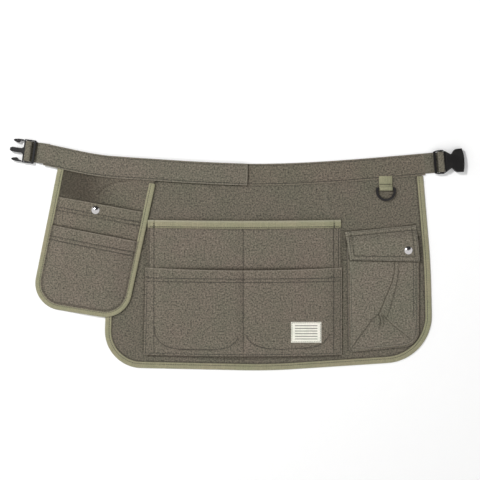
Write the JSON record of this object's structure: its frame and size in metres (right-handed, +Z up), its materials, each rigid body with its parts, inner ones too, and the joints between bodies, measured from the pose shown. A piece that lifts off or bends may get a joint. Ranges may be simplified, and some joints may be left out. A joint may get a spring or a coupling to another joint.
{
  "type": "tool belt",
  "caption": "Canvas waist tool belt: apron with stacked patch pockets, flapped cargo pocket and D-ring, a sliding pouch, and a side-release buckle, laid flat.",
  "frame": {"origin": "centre of the laid-flat belt's bounding box in plan, on the surface that it lies on", "axes": "+X along the waist towards the buckle's socket half, +Y towards the waistband, +Z up out of the front face"},
  "size_m": [0.8604, 0.4391, 0.0168],
  "materials": {
    "canvas": "matte grey-olive cotton twill",
    "binding_tape": "light olive grosgrain binding tape",
    "label": "off-white woven cotton",
    "fastener_tape": "dark hook-and-loop tape",
    "snap_metal": "polished nickel plate",
    "black_plastic": "satin black moulded acetal"
  },
  "bodies": {
    "apron": {"main_panel": "canvas", "main_waistband": "canvas", "main_binding": "binding_tape", "upper_pocket": "canvas", "upper_pocket_tape": "binding_tape", "lower_pocket": "canvas", "label": "label", "cargo_gusset": "canvas", "cargo_pocket": "canvas", "cargo_snap_stud": "snap_metal", "cargo_snap_post": "snap_metal", "flap_seam": "canvas", "d_ring_loop": "binding_tape", "loop_strip": "fastener_tape", "right_strap_end": "canvas"},
    "pouch": {"left_waistband": "canvas", "hook_strip": "fastener_tape", "pouch_panel": "canvas", "pouch_binding": "binding_tape", "pouch_rear_pocket": "canvas", "pouch_front_pocket": "canvas", "pouch_snap_cap": "snap_metal", "pouch_snap_socket": "snap_metal", "pouch_snap_stud": "snap_metal", "pouch_snap_post": "snap_metal", "left_strap_end": "canvas"},
    "flap": {"flap": "canvas", "flap_snap_cap": "snap_metal", "flap_snap_socket": "snap_metal"},
    "d_ring": {"d_ring": "black_plastic"},
    "male_buckle": {"male_buckle": "black_plastic"},
    "upper_prong": {"upper_prong": "black_plastic"},
    "lower_prong": {"lower_prong": "black_plastic"},
    "female_buckle": {"female_buckle": "black_plastic"}
  },
  "joints": [
    {"name": "pouch_slide", "type": "slide", "parent": "apron", "child": "pouch", "axis": [-0.9991, 0.0431, 0], "range_m": [0, 0.08]},
    {"name": "flap_lift", "type": "hinge", "parent": "apron", "child": "flap", "pos_m": [0.2759, 0.0392, 0.005], "axis": [-0.9954, -0.0958, 0], "range_deg": [0, 150]},
    {"name": "d_ring_swing", "type": "hinge", "parent": "apron", "child": "d_ring", "pos_m": [0.2829, 0.1248, 0.0057], "axis": [-1, 0, 0], "range_deg": [0, 170]},
    {"name": "female_buckle_rock", "type": "hinge", "parent": "apron", "child": "female_buckle", "pos_m": [0.3878, 0.1752, 0.0062], "axis": [0.0872, -0.9962, 0], "range_deg": [-4, 7]},
    {"name": "male_buckle_rock", "type": "hinge", "parent": "pouch", "child": "male_buckle", "pos_m": [-0.3953, 0.1955, 0.0062], "axis": [0.1392, 0.9903, 0], "range_deg": [-4, 7]},
    {"name": "upper_prong_squeeze", "type": "hinge", "parent": "male_buckle", "child": "upper_prong", "pos_m": [-0.40334, 0.21662, 0.0062], "axis": [0, 0, 1], "range_deg": [0, 7], "stiffness_Nm_per_rad": 1.2},
    {"name": "lower_prong_squeeze", "type": "hinge", "parent": "male_buckle", "child": "lower_prong", "pos_m": [-0.40885, 0.17741, 0.0062], "axis": [0, 0, -1], "range_deg": [0, 7], "stiffness_Nm_per_rad": 1.2}
  ]
}
